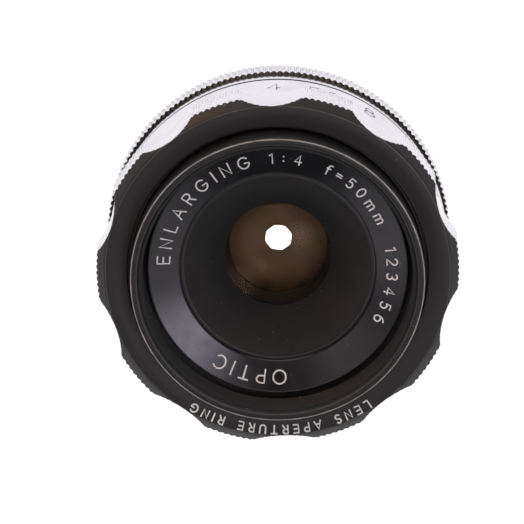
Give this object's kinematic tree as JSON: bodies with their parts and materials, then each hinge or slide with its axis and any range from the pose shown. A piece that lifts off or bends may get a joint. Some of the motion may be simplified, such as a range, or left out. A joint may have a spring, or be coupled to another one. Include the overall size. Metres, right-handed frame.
{
  "type": "enlarger lens",
  "caption": "Darkroom enlarger lens with a scalloped aperture ring, a recessed front glass, an iris diaphragm and a threaded rear mount.",
  "frame": {"origin": "on the optical axis in the plane of the flange seat, where the lens meets the lens board", "axes": "+Z along the optical axis towards the front glass, -Y towards the numbers of the aperture scale and the index line's side"},
  "size_m": [0.0456, 0.0452, 0.0267],
  "materials": {
    "black_anodised": "black anodised, satin",
    "matt_black": "matt black lacquer on aluminium",
    "satin_chrome": "satin chrome plate on brass",
    "brass": "turned",
    "steel": "turned",
    "blued_steel": "thin blackened spring steel",
    "coated_glass": "polished and coated optical glass"
  },
  "bodies": {
    "lens_barrel": {"main_barrel": "black_anodised", "mount_ring": "satin_chrome", "mount_ring_screws": "steel", "index_ring": "satin_chrome", "index_ring_screws": "steel", "click_ball": "steel", "click_spring": "steel", "name_ring": "black_anodised", "front_hood": "matt_black", "front_cell": "matt_black", "front_element": "coated_glass", "element_spacer": "matt_black", "second_element": "coated_glass", "rear_cell": "matt_black", "rear_negative_element": "coated_glass", "rear_positive_element": "coated_glass", "rear_retaining_ring": "matt_black", "iris_housing": "brass", "iris_retaining_ring": "brass"},
    "aperture_ring_group": {"aperture_ring": "satin_chrome", "aperture_ring_screws": "steel", "aperture_sleeve": "black_anodised", "drive_screw": "steel", "iris_rotor": "brass"},
    "blade_1": {"iris_blade_1": "blued_steel"},
    "blade_2": {"iris_blade_2": "blued_steel"},
    "blade_3": {"iris_blade_3": "blued_steel"},
    "blade_4": {"iris_blade_4": "blued_steel"},
    "blade_5": {"iris_blade_5": "blued_steel"},
    "blade_6": {"iris_blade_6": "blued_steel"},
    "blade_7": {"iris_blade_7": "blued_steel"},
    "blade_8": {"iris_blade_8": "blued_steel"}
  },
  "joints": [
    {"name": "aperture_turn", "type": "hinge", "parent": "lens_barrel", "child": "aperture_ring_group", "pos_m": [0, 0, 0.0123], "axis": [0, 0, 1], "range_deg": [-68, 0]},
    {"name": "blade_1_swing", "type": "hinge", "parent": "lens_barrel", "child": "blade_1", "pos_m": [0.00999, -0.00324, 0.00315], "axis": [0, 0, 1], "range_deg": [-23.62, 0.1]},
    {"name": "blade_2_swing", "type": "hinge", "parent": "lens_barrel", "child": "blade_2", "pos_m": [0.00936, 0.00477, 0.00315], "axis": [0, 0, 1], "range_deg": [-23.62, 0.1]},
    {"name": "blade_3_swing", "type": "hinge", "parent": "lens_barrel", "child": "blade_3", "pos_m": [0.00324, 0.00999, 0.00315], "axis": [0, 0, 1], "range_deg": [-23.62, 0.1]},
    {"name": "blade_4_swing", "type": "hinge", "parent": "lens_barrel", "child": "blade_4", "pos_m": [-0.00477, 0.00936, 0.00315], "axis": [0, 0, 1], "range_deg": [-23.62, 0.1]},
    {"name": "blade_5_swing", "type": "hinge", "parent": "lens_barrel", "child": "blade_5", "pos_m": [-0.00999, 0.00324, 0.00315], "axis": [0, 0, 1], "range_deg": [-23.62, 0.1]},
    {"name": "blade_6_swing", "type": "hinge", "parent": "lens_barrel", "child": "blade_6", "pos_m": [-0.00936, -0.00477, 0.00315], "axis": [0, 0, 1], "range_deg": [-23.62, 0.1]},
    {"name": "blade_7_swing", "type": "hinge", "parent": "lens_barrel", "child": "blade_7", "pos_m": [-0.00324, -0.00999, 0.00315], "axis": [0, 0, 1], "range_deg": [-23.62, 0.1]},
    {"name": "blade_8_swing", "type": "hinge", "parent": "lens_barrel", "child": "blade_8", "pos_m": [0.00477, -0.00936, 0.00315], "axis": [0, 0, 1], "range_deg": [-23.62, 0.1]}
  ],
  "couplings": [
    {"joint": "blade_1_swing", "follows": "aperture_turn", "ratio": 0.34588},
    {"joint": "blade_2_swing", "follows": "aperture_turn", "ratio": 0.34588},
    {"joint": "blade_3_swing", "follows": "aperture_turn", "ratio": 0.34588},
    {"joint": "blade_4_swing", "follows": "aperture_turn", "ratio": 0.34588},
    {"joint": "blade_5_swing", "follows": "aperture_turn", "ratio": 0.34588},
    {"joint": "blade_6_swing", "follows": "aperture_turn", "ratio": 0.34588},
    {"joint": "blade_7_swing", "follows": "aperture_turn", "ratio": 0.34588},
    {"joint": "blade_8_swing", "follows": "aperture_turn", "ratio": 0.34588}
  ]
}
